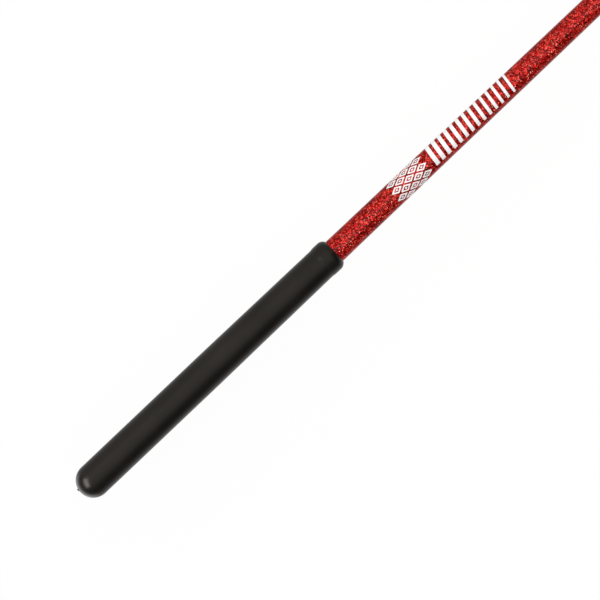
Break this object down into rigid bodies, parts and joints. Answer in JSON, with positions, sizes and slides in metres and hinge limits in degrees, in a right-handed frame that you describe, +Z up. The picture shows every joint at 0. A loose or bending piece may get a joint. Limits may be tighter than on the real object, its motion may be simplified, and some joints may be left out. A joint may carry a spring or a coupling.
{
  "type": "ribbon stick",
  "caption": "Tapered round stick with a closed rubber grip, glitter film under a clear sleeve, and a swivel with a ring and a snap hook at the thin end.",
  "frame": {"origin": "on the surface that the stick lies on, under the middle of its whole length", "axes": "+X along the rod from the grip to the tip, +Z up, away from the surface; the printed marks face up"},
  "size_m": [0.6166, 0.01, 0.0101],
  "materials": {
    "grip_rubber": "satin black",
    "glue": "dried glue",
    "fibreglass": "ground fibreglass",
    "glitter": "red glitter",
    "clear_plastic": "clear and smooth",
    "white_ink": "white print",
    "nickelled_brass": "bright nickel plate",
    "slippery_plastic": "white, waxy",
    "plain_steel": "drawn wire",
    "bright_steel": "polished",
    "nickelled_cast": "nickel plate",
    "spring_wire": "hard-drawn wire"
  },
  "bodies": {
    "stick": {"rubber_grip": "grip_rubber", "grip_adhesive": "glue", "rod_core": "fibreglass", "glitter_film": "glitter", "clear_sleeve": "clear_plastic", "printed_marks": "white_ink", "tip_ferrule": "nickelled_brass"},
    "swivel": {"swivel_eye": "plain_steel", "thrust_washer": "slippery_plastic"},
    "ring": {"split_ring": "bright_steel"},
    "hook": {"snap_body": "nickelled_cast", "gate_rivet": "plain_steel", "gate_spring": "spring_wire"},
    "gate": {"snap_gate": "nickelled_cast"}
  },
  "joints": [
    {"name": "swivel_spin", "type": "hinge", "parent": "stick", "child": "swivel", "pos_m": [0.28333, 0, 0.00505], "axis": [1, 0, 0], "continuous": true},
    {"name": "ring_swing", "type": "hinge", "parent": "swivel", "child": "ring", "pos_m": [0.28523, 0, 0.00505], "axis": [0, 1, 0], "range_deg": [-105, 40]},
    {"name": "hook_swing", "type": "hinge", "parent": "ring", "child": "hook", "pos_m": [0.28797, 0, 0.00181], "axis": [0, 1, 0], "range_deg": [-5, 130]},
    {"name": "gate_hinge", "type": "hinge", "parent": "hook", "child": "gate", "pos_m": [0.29707, -0.0032, 0.00181], "axis": [0, 0, 1], "range_deg": [0, 45], "stiffness_Nm_per_rad": 0.0005, "springref_deg": -57.3, "deforming": ["gate_spring"]}
  ]
}
